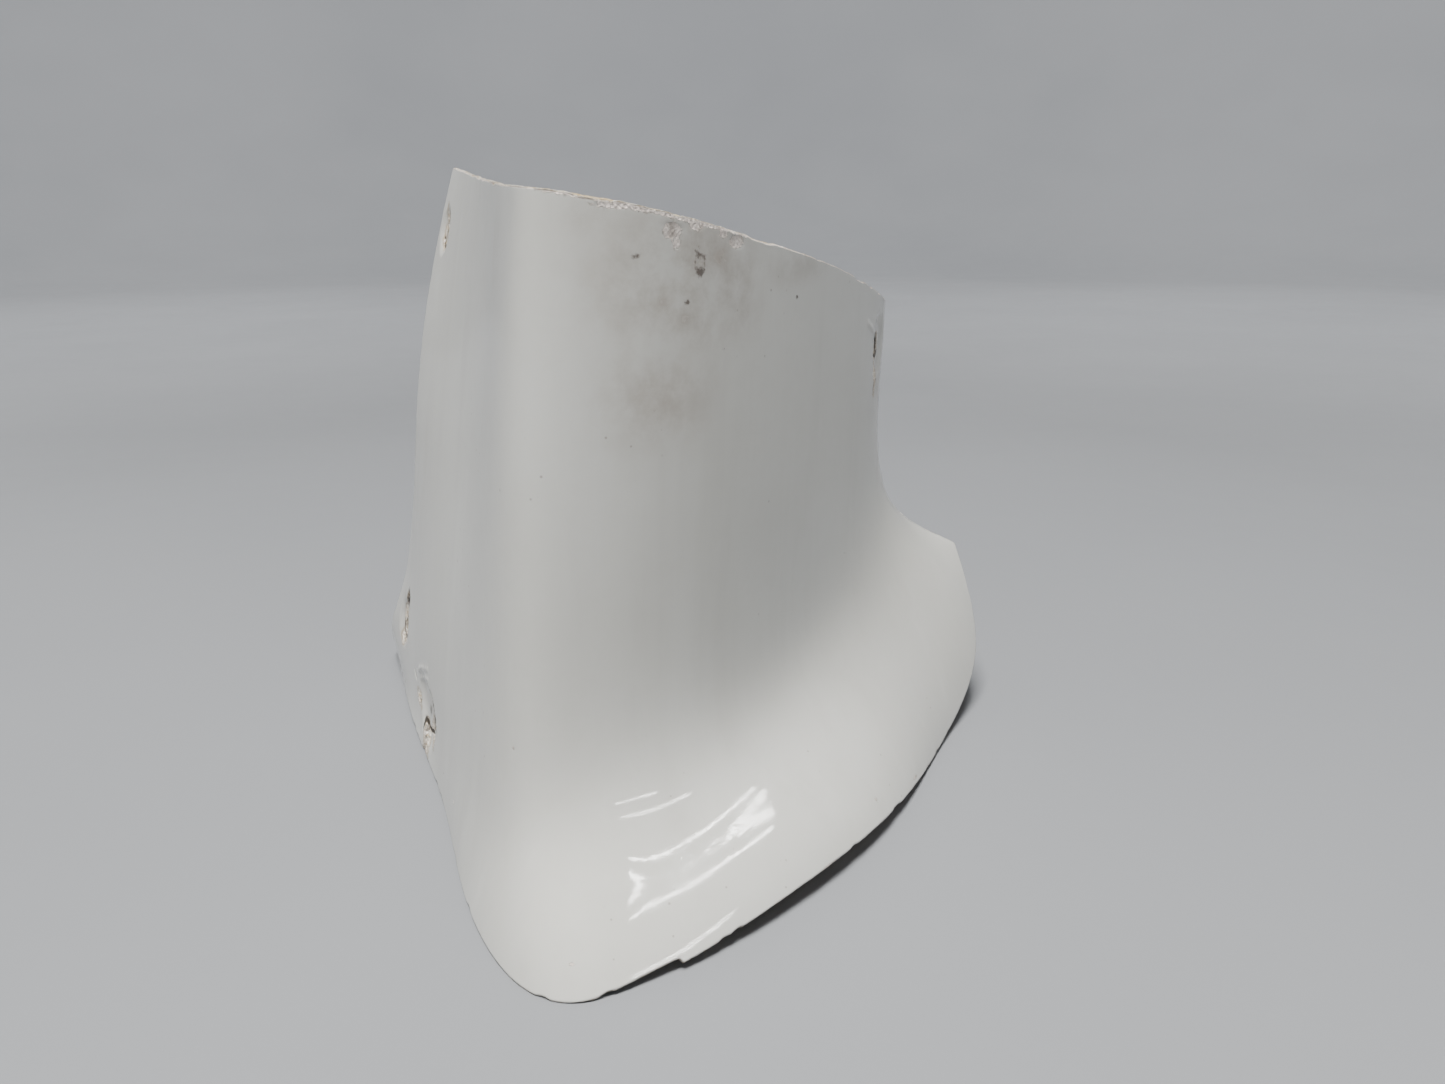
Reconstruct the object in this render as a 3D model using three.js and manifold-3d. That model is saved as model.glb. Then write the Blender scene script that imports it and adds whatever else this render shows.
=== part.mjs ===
// Root fairing: a thin moulded glass-fibre cuff that wraps the leading edge of a strut or surface
// where it meets a fuselage. A U-shaped neck, open at the back, flares into a skirt at the bottom.
// Millimetres, +Z up, the nose points to -Y, and the skirt's rim stands on Z = 0.
import * as THREE from 'three';
import { mergeVertices } from 'three/addons/utils/BufferGeometryUtils.js';
import Module from 'manifold-3d';

const wasm = await Module();
wasm.setup();

// Driving dimensions
const wallThickness = 2.0;          // laminate of the shell
const padThickness = 2.0;           // laminate built up behind each screw seat
const padRadius = 9.0;
const bondGap = 0.3;                // clearance left for the resin between bonded layers
const bandThickness = 1.4;          // laminate band behind the nose of the neck's edge
const screwHoleDiameter = 4.2;      // clearance hole of a number 8 screw
const seatDiameter = 15.0;          // round recess for a screw head and its cup washer
const seatDepth = 1.2;

// The loft: eleven stations around the U, from the left rear edge past the nose to the right rear
// edge. Each has seven points down the wall: the neck's edge, neck, waist, fillet, flange, lip and
// rim. The surface passes through the first and the last, and the others pull it, as a spline's do.
const stations = [
  // left rear edge
  [[-70.5, 64, 200.8], [-88, 70, 150], [-96, 80, 92], [-104.5, 88, 46],
    [-116, 98, 26], [-121.5, 112, 11], [-122, 124, 2]],
  // left flank
  [[-53, 14, 197], [-65, 22, 146], [-77, 28, 85], [-87, 34, 36],
    [-89, 38, 20], [-94, 47, 8], [-97, 50, 1]],
  // left flank, front
  [[-39, -32, 194.5], [-46, -27, 148], [-56, -22, 85], [-64, -17, 38],
    [-67, -15, 20], [-70, -13, 8], [-71.5, -12, 0]],
  // left of the nose
  [[-29.5, -62.5, 193.4], [-35, -63, 148], [-38, -65, 90], [-42, -66, 40],
    [-45, -68, 20], [-49, -70, 8], [-51.5, -70, 0]],
  // nose and toe
  [[-18, -76, 192.3], [-20, -76, 148], [-21, -75, 84], [-22, -76, 38],
    [-23, -90, 20], [-25, -105, 9.5], [-26, -110, 0]],
  // right of the nose
  [[8, -68, 187.3], [7, -66, 145], [6, -62, 88], [4, -61, 46],
    [3, -77, 24], [3, -98, 11], [3, -105.5, 1.5]],
  // right flank, front
  [[30, -44, 180.3], [30, -43, 142], [29, -38, 88], [28, -35, 48],
    [31, -52, 28], [35, -72, 15], [36.5, -78, 5.5]],
  // right flank
  [[50, -12, 172.9], [50, -10, 138], [50, -6, 90], [50, -1, 54],
    [59, -13, 33], [70, -26, 16], [73.5, -30, 5]],
  // widest part of the skirt
  [[67, 24, 164.2], [67, 25, 136], [66.5, 27, 98], [69, 29, 64],
    [82, 29, 42], [96, 27, 18], [100, 27, 1.5]],
  // rear of the skirt
  [[76, 48, 158], [76, 50, 138], [75, 52, 112], [78, 54, 80],
    [94, 59, 59], [112, 65, 38], [119.5, 68, 20]],
  // right rear edge
  [[79, 62, 155.6], [79, 64, 138], [77, 66, 116], [79, 69, 88],
    [90, 76, 71], [107, 87, 62], [114, 92, 57.5]],
].map((points) => points.map((point) => new THREE.Vector3(...point)));
const lastStation = stations.length - 1;
const wallPoints = stations[0].length;

// Screw seats: how far around the U (in stations) and how far down the wall (0 edge, 1 rim)
const seats = {
  left_neck: { around: 0.20, down: 0.035 },
  right_neck: { around: 8.82, down: 0.0725 },
  left_skirt_rear: { around: 0.30, down: 0.66 },
  left_skirt_front: { around: 1.28, down: 0.80 },
};

// Mesh density
const shellSteps = { around: 60, down: 26 };
const padSteps = { around: 8, down: 8 };
const bandSteps = { around: 22, down: 2 };
const holeSides = 20;
const slopeStep = 0.004;            // small step for the surface's slopes

// Second derivatives of the natural cubic spline through evenly spaced values
function splineBends(values) {
  const count = values.length;
  const ratios = new Array(count).fill(0);
  const bends = new Array(count).fill(0);
  for (let i = 1; i < count - 1; i += 1) {
    const pivot = 4 - ratios[i - 1];
    ratios[i] = 1 / pivot;
    const second = 6 * (values[i + 1] - 2 * values[i] + values[i - 1]);
    bends[i] = (second - bends[i - 1]) / pivot;
  }
  for (let i = count - 2; i > 0; i -= 1) {
    bends[i] -= ratios[i] * bends[i + 1];
  }
  return bends;
}

// One smooth curve around the U through the same point of every station
function stationCurve(row) {
  const axes = ['x', 'y', 'z'].map((axis) => {
    const values = stations.map((station) => station[row][axis]);
    return { values, bends: splineBends(values) };
  });
  return (around) => {
    const i = Math.min(Math.max(Math.floor(around), 0), lastStation - 1);
    const b = around - i;
    const a = 1 - b;
    const at = axes.map(({ values, bends }) => (
      a * values[i] + b * values[i + 1]
      + ((a ** 3 - a) * bends[i] + (b ** 3 - b) * bends[i + 1]) / 6
    ));
    return new THREE.Vector3(...at);
  };
}

const curves = stations[0].map((point, row) => stationCurve(row));

// Weights of a clamped cubic B-spline whose control points are a station's points down the wall
const degree = 3;
const knots = Array.from({ length: wallPoints + degree + 1 }, (value, i) => (
  THREE.MathUtils.clamp((i - degree) / (wallPoints - degree), 0, 1)
));

function splineWeight(i, order, t) {
  if (order === 0) {
    const last = t >= 1 && knots[i + 1] >= 1 && knots[i] < 1;
    return (t >= knots[i] && t < knots[i + 1]) || last ? 1 : 0;
  }
  const rise = knots[i + order] - knots[i];
  const fall = knots[i + order + 1] - knots[i + 1];
  const up = rise > 0 ? ((t - knots[i]) / rise) * splineWeight(i, order - 1, t) : 0;
  const down = fall > 0 ? ((knots[i + order + 1] - t) / fall) * splineWeight(i + 1, order - 1, t) : 0;
  return up + down;
}

function outerPoint(around, down) {
  const point = new THREE.Vector3();
  curves.forEach((curve, row) => {
    point.addScaledVector(curve(around), splineWeight(row, degree, down));
  });
  return point;
}

// Slopes of the outer surface around and down, in millimetres per unit
function slopes(around, down) {
  const a0 = Math.max(around - slopeStep, 0);
  const a1 = Math.min(around + slopeStep, lastStation);
  const d0 = Math.max(down - slopeStep, 0);
  const d1 = Math.min(down + slopeStep, 1);
  return {
    around: outerPoint(a1, down).sub(outerPoint(a0, down)).divideScalar(a1 - a0),
    down: outerPoint(around, d1).sub(outerPoint(around, d0)).divideScalar(d1 - d0),
  };
}

function outwardNormal(around, down) {
  const slope = slopes(around, down);
  return slope.down.cross(slope.around).normalize();
}

// A point under the outer surface; the flange never goes below the plane that it stands on
function pointAtDepth(around, down, depth) {
  const point = outerPoint(around, down).addScaledVector(outwardNormal(around, down), -depth);
  point.z = Math.max(point.z, 0);
  return point;
}

// A closed sheet between two faces, each a function of (s, t) from 0 to 1
function closedSheet(outerFace, innerFace, steps) {
  const positions = [];
  const indices = [];
  const columns = steps.around + 1;
  const rows = steps.down + 1;
  const vertex = (side, i, j) => (side * columns + i) * rows + j;
  const quad = (a, b, c, d) => indices.push(a, b, c, a, c, d);
  for (const face of [outerFace, innerFace]) {
    for (let i = 0; i < columns; i += 1) {
      for (let j = 0; j < rows; j += 1) {
        positions.push(...face(i / steps.around, j / steps.down).toArray());
      }
    }
  }
  for (let i = 0; i < steps.around; i += 1) {
    for (let j = 0; j < steps.down; j += 1) {
      quad(vertex(0, i, j), vertex(0, i, j + 1), vertex(0, i + 1, j + 1), vertex(0, i + 1, j));
      quad(vertex(1, i, j), vertex(1, i + 1, j), vertex(1, i + 1, j + 1), vertex(1, i, j + 1));
    }
  }
  for (let i = 0; i < steps.around; i += 1) {
    quad(vertex(1, i, 0), vertex(0, i, 0), vertex(0, i + 1, 0), vertex(1, i + 1, 0));
    const end = steps.down;
    quad(vertex(0, i, end), vertex(1, i, end), vertex(1, i + 1, end), vertex(0, i + 1, end));
  }
  for (let j = 0; j < steps.down; j += 1) {
    quad(vertex(0, 0, j), vertex(1, 0, j), vertex(1, 0, j + 1), vertex(0, 0, j + 1));
    const end = steps.around;
    quad(vertex(1, end, j), vertex(0, end, j), vertex(0, end, j + 1), vertex(1, end, j + 1));
  }
  const geometry = new THREE.BufferGeometry();
  geometry.setAttribute('position', new THREE.Float32BufferAttribute(positions, 3));
  geometry.setIndex(indices);
  return geometry;
}

// Geometry to solid and back, for the cuts
function toSolid(geometry) {
  const bare = geometry.clone();
  bare.deleteAttribute('normal');
  bare.deleteAttribute('uv');
  const merged = mergeVertices(bare);
  return new wasm.Manifold(new wasm.Mesh({
    numProp: 3,
    vertProperties: new Float32Array(merged.attributes.position.array),
    triVerts: new Uint32Array(merged.index.array),
  }));
}

function toGeometry(solid) {
  const mesh = solid.getMesh();
  const geometry = new THREE.BufferGeometry();
  geometry.setAttribute('position', new THREE.BufferAttribute(new Float32Array(mesh.vertProperties), 3));
  geometry.setIndex(new THREE.BufferAttribute(new Uint32Array(mesh.triVerts), 1));
  return geometry;
}

// The frame of a seat: its centre on the outer surface and the way out of the wall
function seatFrame({ around, down }) {
  return { centre: outerPoint(around, down), out: outwardNormal(around, down) };
}

function screwHole(seat) {
  const { centre, out } = seatFrame(seat);
  const reach = 4 * (wallThickness + padThickness);
  const hole = new THREE.CylinderGeometry(screwHoleDiameter / 2, screwHoleDiameter / 2, 2 * reach, holeSides);
  hole.applyQuaternion(new THREE.Quaternion().setFromUnitVectors(THREE.Object3D.DEFAULT_UP, out));
  return toSolid(hole.translate(...centre.toArray()));
}

// The seat is a shallow cap of a sphere, sunk into the wall from outside
function seatRecess(seat) {
  const { centre, out } = seatFrame(seat);
  const half = seatDiameter / 2;
  const sphereRadius = (half ** 2 + seatDepth ** 2) / (2 * seatDepth);
  const sphere = new THREE.SphereGeometry(sphereRadius, 72, 48);
  const middle = centre.addScaledVector(out, sphereRadius - seatDepth);
  return toSolid(sphere.translate(...middle.toArray()));
}

function shellGeometry() {
  const face = (depth) => (s, t) => pointAtDepth(s * lastStation, t, depth);
  let shell = toSolid(closedSheet(face(0), face(wallThickness), shellSteps));
  for (const seat of Object.values(seats)) {
    shell = shell.subtract(seatRecess(seat)).subtract(screwHole(seat));
  }
  return toGeometry(shell);
}

// A round pad behind a seat: it follows the wall on one side, and its landing face is flat
function padGeometry(seat) {
  const slope = slopes(seat.around, seat.down);
  const { centre, out } = seatFrame(seat);
  const landingDepth = wallThickness + bondGap + padThickness;
  const landing = new THREE.Plane().setFromNormalAndCoplanarPoint(
    out,
    centre.clone().addScaledVector(out, -landingDepth),
  );
  const wallSide = (s, t) => {
    const x = 2 * s - 1;
    const y = 2 * t - 1;
    const around = seat.around + (padRadius * x * Math.sqrt(1 - y * y / 2)) / slope.around.length();
    const down = seat.down + (padRadius * y * Math.sqrt(1 - x * x / 2)) / slope.down.length();
    return pointAtDepth(around, down, wallThickness + bondGap);
  };
  const landingSide = (s, t) => landing.projectPoint(wallSide(s, t), new THREE.Vector3());
  const pad = toSolid(closedSheet(wallSide, landingSide, padSteps));
  return toGeometry(pad.subtract(screwHole(seat)));
}

// The laminate band that thickens the neck's edge around its nose
const bandEnds = { from: 3.2, to: 6.3 };
const bandRows = { from: 0.006, to: 0.05 };

function bandGeometry() {
  const face = (depth) => (s, t) => pointAtDepth(
    THREE.MathUtils.lerp(bandEnds.from, bandEnds.to, s),
    THREE.MathUtils.lerp(bandRows.from, bandRows.to, t),
    depth,
  );
  const nearDepth = wallThickness + bondGap;
  return closedSheet(face(nearDepth), face(nearDepth + bandThickness), bandSteps);
}

function part(name, geometry, colour, roughness) {
  const material = new THREE.MeshStandardMaterial({ color: colour, roughness, metalness: 0 });
  const mesh = new THREE.Mesh(geometry, material);
  mesh.name = name;
  return mesh;
}

const paintColour = 0xc4c3ba;
const laminateColour = 0xb39a6b;
const paintRoughness = 0.22;
const laminateRoughness = 0.7;

const fairing = new THREE.Group();
fairing.add(part('fairing_shell', shellGeometry(), paintColour, paintRoughness));
fairing.add(part('neck_edge_band', bandGeometry(), laminateColour, laminateRoughness));
for (const [name, seat] of Object.entries(seats)) {
  fairing.add(part(`${name}_pad`, padGeometry(seat), laminateColour, laminateRoughness));
}

// The origin is the middle of the footprint's box, on the plane that the skirt stands on
const box = new THREE.Box3().setFromObject(fairing);
const middle = box.getCenter(new THREE.Vector3());
fairing.position.set(-middle.x, -middle.y, -box.min.z);

export default fairing;
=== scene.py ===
import math

import bpy
import numpy as np
from mathutils import Matrix, Vector


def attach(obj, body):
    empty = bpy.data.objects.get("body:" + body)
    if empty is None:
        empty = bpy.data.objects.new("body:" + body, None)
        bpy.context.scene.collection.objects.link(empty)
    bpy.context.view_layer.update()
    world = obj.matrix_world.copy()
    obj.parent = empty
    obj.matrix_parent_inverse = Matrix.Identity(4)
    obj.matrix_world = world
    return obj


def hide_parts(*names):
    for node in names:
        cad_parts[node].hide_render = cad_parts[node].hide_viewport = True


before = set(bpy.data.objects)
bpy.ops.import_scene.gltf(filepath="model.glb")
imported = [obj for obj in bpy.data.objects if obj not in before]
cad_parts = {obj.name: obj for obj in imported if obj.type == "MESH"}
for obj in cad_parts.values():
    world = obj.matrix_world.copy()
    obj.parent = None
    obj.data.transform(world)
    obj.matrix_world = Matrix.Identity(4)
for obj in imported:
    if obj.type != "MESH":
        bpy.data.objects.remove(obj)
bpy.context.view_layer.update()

# A worn glass-fibre root fairing: one thin painted shell, an extra laminate band behind the nose of
# its neck's edge, and four laminate pads behind its screw seats. The shapes are worked out in
# millimetres and in the loft's own frame, as the CAD's are, and go into the scene in metres.
MM = 0.001

WALL = 2.0                 # laminate of the shell
BAND = 1.5                 # laminate band behind the neck's edge
PAD = 2.0                  # laminate pads behind the screw seats
PAD_RADIUS = 9.0
BOND = 0.3                 # resin between a bonded layer and the wall
HOLE_RADIUS = 2.1
EDGE_ROUND = 0.45          # how far the worn edges bulge
CHIP_FADE = 9.0            # how far in from a chipped edge the grid is moved along with it
INSIDE_SHORT = 0.22        # how much thinner the lay is than the wall, to clear the bonded layers
CLOTH_PITCH = 1.7          # from one strand of the weave to the next
SEAT_REACH = 40            # a seat's own axes mean nothing farther off than this
FAR_OUT = 1000             # a stand-in place or distance that lies outside every patch
DEEPEST = 1.3              # the most that a seat is sunk, so that laminate is left in front of its pad

# The loft: eleven stations around the U, from the left rear edge past the nose to the right rear
# edge. Each has seven points down the wall: the neck's edge, neck, waist, fillet, flange, lip and rim.
STATIONS = [
    # left rear edge
    [(-70.5, 64, 200.8), (-88, 70, 150), (-96, 80, 92), (-104.5, 88, 46),
     (-116, 98, 26), (-121.5, 112, 11), (-122, 124, 2)],
    # left flank
    [(-53, 14, 197), (-65, 22, 146), (-77, 28, 85), (-87, 34, 36),
     (-89, 38, 20), (-94, 47, 8), (-97, 50, 1)],
    # left flank, front
    [(-39, -32, 194.5), (-46, -27, 148), (-56, -22, 85), (-64, -17, 38),
     (-67, -15, 20), (-70, -13, 8), (-71.5, -12, 0)],
    # left of the nose
    [(-29.5, -62.5, 193.4), (-35, -63, 148), (-38, -65, 90), (-42, -66, 40),
     (-45, -68, 20), (-49, -70, 8), (-51.5, -70, 0)],
    # nose and toe
    [(-18, -76, 192.3), (-20, -76, 148), (-21, -75, 84), (-22, -76, 38),
     (-23, -90, 20), (-25, -105, 9.5), (-26, -110, 0)],
    # right of the nose
    [(8, -68, 187.3), (7, -66, 145), (6, -62, 88), (4, -61, 46),
     (3, -77, 24), (3, -98, 11), (3, -105.5, 1.5)],
    # right flank, front
    [(30, -44, 180.3), (30, -43, 142), (29, -38, 88), (28, -35, 48),
     (31, -52, 28), (35, -72, 15), (36.5, -78, 5.5)],
    # right flank
    [(50, -12, 172.9), (50, -10, 138), (50, -6, 90), (50, -1, 54),
     (59, -13, 33), (70, -26, 16), (73.5, -30, 5)],
    # widest part of the skirt
    [(67, 24, 164.2), (67, 25, 136), (66.5, 27, 98), (69, 29, 64),
     (82, 29, 42), (96, 27, 18), (100, 27, 1.5)],
    # rear of the skirt
    [(76, 48, 158), (76, 50, 138), (75, 52, 112), (78, 54, 80),
     (94, 59, 59), (112, 65, 38), (119.5, 68, 20)],
    # right rear edge
    [(79, 62, 155.6), (79, 64, 138), (77, 66, 116), (79, 69, 88),
     (90, 76, 71), (107, 87, 62), (114, 92, 57.5)],
]
STATIONS = np.array(STATIONS, float)
LAST = len(STATIONS) - 1
WALL_POINTS = STATIONS.shape[1]
DEGREE = 3
KNOTS = np.clip((np.arange(WALL_POINTS + DEGREE + 1) - DEGREE) / (WALL_POINTS - DEGREE), 0, 1)
SLOPE_STEP = 0.004


# ---------------------------------------------------------------- the surface

def spline_bends(values):
    """Second derivatives of the natural cubic spline through evenly spaced values."""
    inner = len(values) - 2
    matrix = 4 * np.eye(inner) + np.eye(inner, k=1) + np.eye(inner, k=-1)
    second = 6 * (values[2:] - 2 * values[1:-1] + values[:-2])
    bends = np.zeros_like(values)
    bends[1:-1] = np.linalg.solve(matrix, second.reshape(inner, -1)).reshape(second.shape)
    return bends


BENDS = spline_bends(STATIONS)


def spline_weights(down):
    """Weights of a clamped cubic B-spline whose control points are a station's points."""
    t = np.clip(down, 0, 1 - 1e-9)[..., None]
    weights = ((t >= KNOTS[:-1]) & (t < KNOTS[1:])).astype(float)
    for order in range(1, DEGREE + 1):
        rise = KNOTS[order:-1] - KNOTS[:-order - 1]
        fall = KNOTS[order + 1:] - KNOTS[1:-order]
        up = np.where(rise > 0, (t - KNOTS[:-order - 1]) / np.where(rise > 0, rise, 1), 0)
        off = np.where(fall > 0, (KNOTS[order + 1:] - t) / np.where(fall > 0, fall, 1), 0)
        weights = up * weights[..., :-1] + off * weights[..., 1:]
    return weights


def outer_point(around, down):
    around, down = np.broadcast_arrays(np.asarray(around, float), np.asarray(down, float))
    i = np.clip(np.floor(around).astype(int), 0, LAST - 1)
    b = (around - i)[..., None, None]
    a = 1 - b
    rows = a * STATIONS[i] + b * STATIONS[i + 1]
    rows += ((a ** 3 - a) * BENDS[i] + (b ** 3 - b) * BENDS[i + 1]) / 6
    return (rows * spline_weights(down)[..., None]).sum(-2)


def unit(vectors):
    return vectors / np.linalg.norm(vectors, axis=-1, keepdims=True)


def surface(around, down):
    """Points of the smooth outer surface, their outward normals, and the slopes both ways in mm."""
    around, down = np.broadcast_arrays(np.asarray(around, float), np.asarray(down, float))
    a0, a1 = np.maximum(around - SLOPE_STEP, 0), np.minimum(around + SLOPE_STEP, LAST)
    d0, d1 = np.maximum(down - SLOPE_STEP, 0), np.minimum(down + SLOPE_STEP, 1)
    slope_around = (outer_point(a1, down) - outer_point(a0, down)) / (a1 - a0)[..., None]
    slope_down = (outer_point(around, d1) - outer_point(around, d0)) / (d1 - d0)[..., None]
    normal = unit(np.cross(slope_down, slope_around))
    return outer_point(around, down), normal, slope_around, slope_down


# The loft's frame is moved so that the origin is the middle of the footprint's box, as in the CAD
_outline = outer_point(*np.meshgrid(np.linspace(0, LAST, 601), np.linspace(0, 1, 261)))
SHIFT = -np.array([
    (_outline[..., 0].min() + _outline[..., 0].max()) / 2,
    (_outline[..., 1].min() + _outline[..., 1].max()) / 2,
    0,
])


# ---------------------------------------------------------------- repeatable noise

def lattice_value(cells, seed):
    """A repeatable number from 0 to 1 for each whole-number cell."""
    mixed = cells[..., 0] * 374761393 + cells[..., 1] * 668265263 + cells[..., 2] * 1440662683
    mixed = (mixed + seed * 974634777) & 0xFFFFFFFF
    mixed = ((mixed ^ (mixed >> 13)) * 1274126177) & 0xFFFFFFFF
    return ((mixed ^ (mixed >> 16)) & 0xFFFF) / 65535.0


def noise(points, size, seed):
    """Smooth noise from -1 to 1 whose lumps are about size across, in the points' own units."""
    scaled = points / size
    cell = np.floor(scaled).astype(np.int64)
    part = scaled - cell
    part = part * part * part * (part * (6 * part - 15) + 10)
    total = np.zeros(points.shape[:-1])
    for corner in np.ndindex(2, 2, 2):
        weight = np.prod(np.where(np.array(corner), part, 1 - part), axis=-1)
        total += weight * lattice_value(cell + np.array(corner), seed)
    return 2 * total - 1


def rough(points, size, seed, octaves=3):
    """Noise with finer and weaker layers on top of it."""
    total = np.zeros(points.shape[:-1])
    for octave in range(octaves):
        total += noise(points, size / 2 ** octave, seed + octave) / 2 ** octave
    return total / (2 - 2 ** (1 - octaves))


def smooth_step(low, high, value):
    t = np.clip((value - low) / (high - low), 0, 1)
    return t * t * (3 - 2 * t)


# ---------------------------------------------------------------- screw seats

class Seat:
    """A screw seat: where it is on the wall, and its own flat axes (x around, y down, out)."""

    def __init__(self, around, down, radius, depth, stretch=1.0):
        self.around = around
        self.down = down
        self.radius = radius
        self.depth = depth
        self.stretch = stretch
        self.centre, self.out, slope_around, slope_down = surface(around, down)
        self.mm_around = np.linalg.norm(slope_around)
        self.mm_down = np.linalg.norm(slope_down)
        self.y = unit(slope_down)
        self.x = unit(slope_around - (slope_around @ self.y) * self.y)

    def local(self, points):
        """x and y on the seat for points near it; far points land well outside it."""
        offset = points - self.centre
        near = np.linalg.norm(offset, axis=-1) < SEAT_REACH
        x = np.where(near, offset @ self.x, FAR_OUT)
        y = np.where(near, offset @ self.y, FAR_OUT)
        return x, y


# radius and depth of the dimple in mm, and how many times longer it is along the wall
SEATS = {
    "left_neck": Seat(0.20, 0.035, 8.0, 1.1),
    "right_neck": Seat(8.82, 0.0725, 10.5, 1.3),
    "left_skirt_rear": Seat(0.30, 0.66, 9.5, 1.2, 1.2),
    "left_skirt_front": Seat(1.28, 0.80, 9.5, 1.3, 2.0),
}

# What time has done to each seat. Every place is x and y on the seat in mm.
# Torn laminate, down to white crushed fibre: x, y, half width, half height
TORN = {
    "left_neck": [(0.5, 1, 4.5, 5), (-2.5, -6, 1.5, 4)],
    "right_neck": [(-0.5, 1.5, 3.5, 4.5), (-5.5, 9, 2, 6)],
    "left_skirt_rear": [(0, -1, 6, 5), (-1, -9, 4.5, 5), (2, 6.5, 4, 3)],
    "left_skirt_front": [(10, -1, 6, 3.5), (6, 8, 7, 3.5), (-14, 9, 4, 3), (9, 13, 4, 2)],
}
# Crevices where the plies have cracked apart, whose near-black colour is painted shade: points of each broken
# line, and its half width
SPLITS_AND_SHADE = {
    "left_neck": [([(-3.5, 3), (-0.5, 5.5), (3.5, 3.5)], 0.35)],
    "right_neck": [([(-1, -3), (0, 2)], 1.0), ([(-2.5, 3.5), (0, 5), (2.5, 3)], 0.3)],
    "left_skirt_rear": [
        ([(-4, -13), (0, -11), (-4, -9), (2, -8), (-2, -6), (3, -5)], 1.0),
        ([(5, -7), (6, -2), (5, 3)], 0.6),
        ([(-4, 3), (0, 6), (5, 5)], 0.45),
    ],
    "left_skirt_front": [
        ([(1, -10), (6, -11), (8, -8), (13, -8), (12, -5), (15, -4)], 1.1),
        ([(15, -4), (8, 2), (4, 5)], 0.6),
        ([(4, 5), (-3, 8), (-1, 11)], 0.6),
        ([(-26, 8), (-22, 8)], 0.5),
    ],
}
# Dark crumbled filler: x, y, half width, half height
CRUMBS = {
    "left_neck": [(0, -4, 2.5, 3)],
    "right_neck": [(0, -2, 1.5, 4)],
    "left_skirt_rear": [(-1, -9, 5, 7), (4, 2, 1.5, 4)],
    "left_skirt_front": [(9, -8, 9, 4), (2, 7, 2, 4)],
}
# Raised lips of paint and filler: points of each line, its half width and its height
LIPS = {
    "left_neck": [([(-5, -6), (-6, 0), (-4, 6)], 0.9, 0.25)],
    "right_neck": [([(-17, -9.5), (-9, -5), (-4.5, -1), (-3.5, 2.5)], 1.0, 0.45)],
    "left_skirt_rear": [([(-7, -6), (-8, 1), (-6, 7)], 0.9, 0.30)],
    "left_skirt_front": [
        ([(-6, -15), (-14, -7), (-20, 1)], 1.0, 0.70),
        ([(-4, -12), (-10, -6), (-16, 1)], 0.9, 0.45),
    ],
}


# ---------------------------------------------------------------- wear, as fields over the wall

# Small places where the paint has gone: around, down, half width and half height in mm
PEELED_SPOTS = [
    (5.05, 0.009, 2.6, 2.0), (5.10, 0.014, 1.0, 1.9), (5.30, 0.003, 2.0, 1.3), (5.75, 0.006, 3.0, 1.6),
    (5.60, 0.004, 1.6, 1.0), (4.60, 0.002, 5.5, 0.9), (3.35, 0.455, 0.5, 0.5), (4.30, 0.93, 0.8, 0.6),
    (6.90, 0.95, 0.8, 0.8), (8.30, 0.62, 0.5, 0.5), (2.30, 0.88, 0.7, 0.5), (7.40, 0.985, 2.2, 0.9),
]
# Dark marks: around, down, half width and half height in mm, strength
MARKS = [
    (4.75, 0.024, 1.1, 0.7, 0.9), (5.40, 0.016, 0.6, 0.6, 0.9), (5.20, 0.044, 1.0, 0.8, 0.8),
    (5.60, 0.070, 0.8, 0.9, 0.8), (6.60, 0.030, 0.7, 0.6, 0.7),
]
# A broken dark ring: around, down, half width and half height in mm, and its line's half width
RING = (5.33, 0.022, 1.4, 2.6, 0.6)
# Stains that shade the paint: around, down, half width and half height in mm, strength
STAINS = [
    (5.20, 0.03, 28, 22, 0.75), (5.75, 0.03, 14, 16, 0.60), (4.95, 0.10, 20, 16, 0.50),
    (4.40, 0.01, 12, 7, 0.25), (6.60, 0.01, 22, 6, 0.35), (8.82, 0.11, 5, 16, 0.50),
    (0.30, 0.66, 14, 16, 0.35), (1.28, 0.80, 16, 15, 0.35), (0.20, 0.035, 12, 14, 0.25),
]


def ellipse_field(x, y, half_width, half_height):
    """How far inside an ellipse each point is, in mm; outside it is negative."""
    return (1 - np.hypot(x / half_width, y / half_height)) * min(half_width, half_height)


def patch_field(points, around, down, half_width, half_height):
    """ellipse_field of a patch that lies on the wall, and not on the wall across from it."""
    centre, _, slope_around, slope_down = surface(around, down)
    y_way = unit(slope_down)
    x_way = unit(slope_around - (slope_around @ y_way) * y_way)
    offset = points - centre
    margin = 8
    near = np.linalg.norm(offset, axis=-1) < half_width + half_height + margin
    inside = ellipse_field(offset @ x_way, offset @ y_way, half_width, half_height)
    return np.where(near, inside, -FAR_OUT)


def line_distance(x, y, line):
    """Distance in mm from each point to a broken line."""
    nearest = np.full(x.shape, float(FAR_OUT))
    for (x0, y0), (x1, y1) in zip(line[:-1], line[1:]):
        dx, dy = x1 - x0, y1 - y0
        share = np.clip(((x - x0) * dx + (y - y0) * dy) / (dx * dx + dy * dy), 0, 1)
        nearest = np.minimum(nearest, np.hypot(x - x0 - share * dx, y - y0 - share * dy))
    return nearest


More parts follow.
